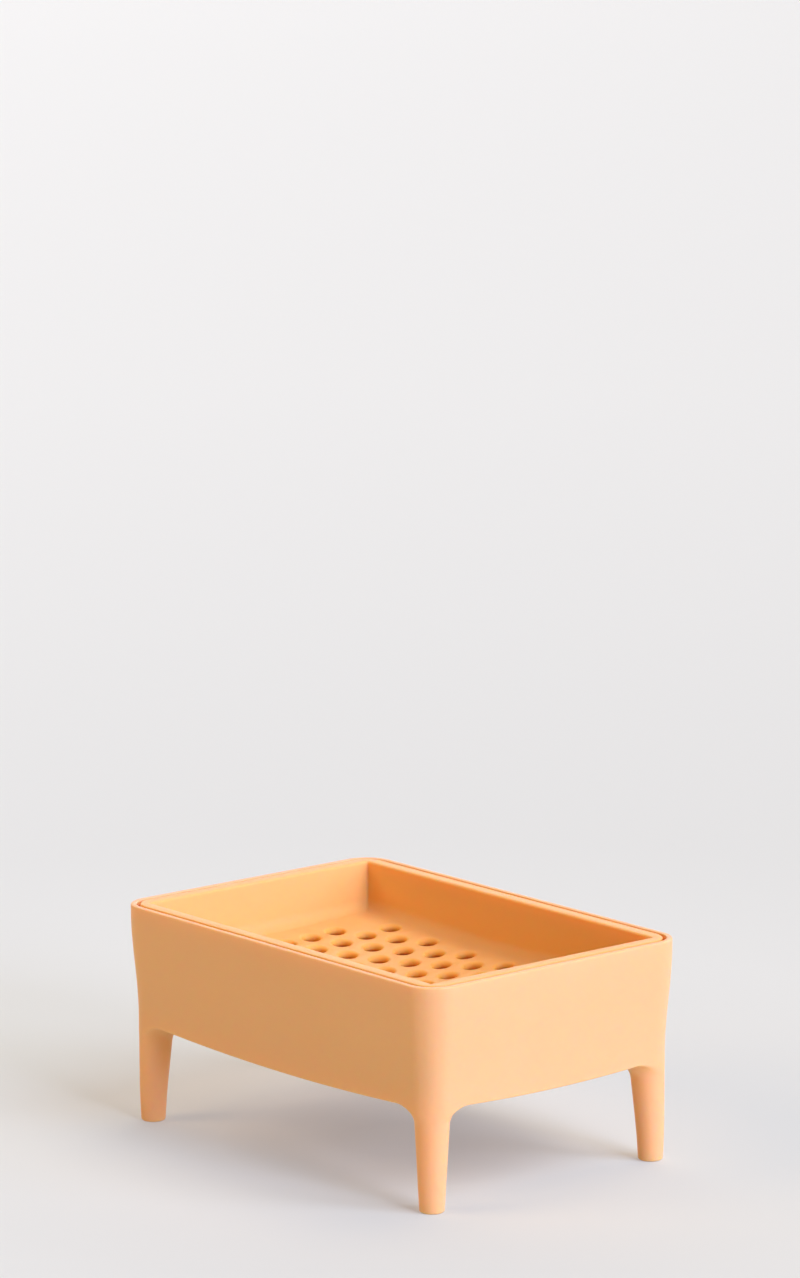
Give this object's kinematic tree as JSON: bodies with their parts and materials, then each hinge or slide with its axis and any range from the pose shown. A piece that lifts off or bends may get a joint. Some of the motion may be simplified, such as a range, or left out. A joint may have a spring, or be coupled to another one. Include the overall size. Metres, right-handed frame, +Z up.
{
  "type": "soap dish",
  "caption": "Free-standing soap dish: a rectangular drip tub on moulded tapered legs with a lift-out perforated tray flush with its rim.",
  "frame": {"origin": "on the surface that the dish stands on, under the middle of the tub", "axes": "+X along the long side, +Y along the short side, +Z up"},
  "size_m": [0.125, 0.0856, 0.0583],
  "materials": {
    "apricot_plastic": "matte moulded, fine satin grain"
  },
  "bodies": {
    "tub": {"base_tub": "apricot_plastic"},
    "tray": {"soap_tray": "apricot_plastic"}
  },
  "joints": [
    {"name": "tray_lift", "type": "slide", "parent": "tub", "child": "tray", "axis": [0, 0, 1], "range_m": [0, 0.03]}
  ]
}
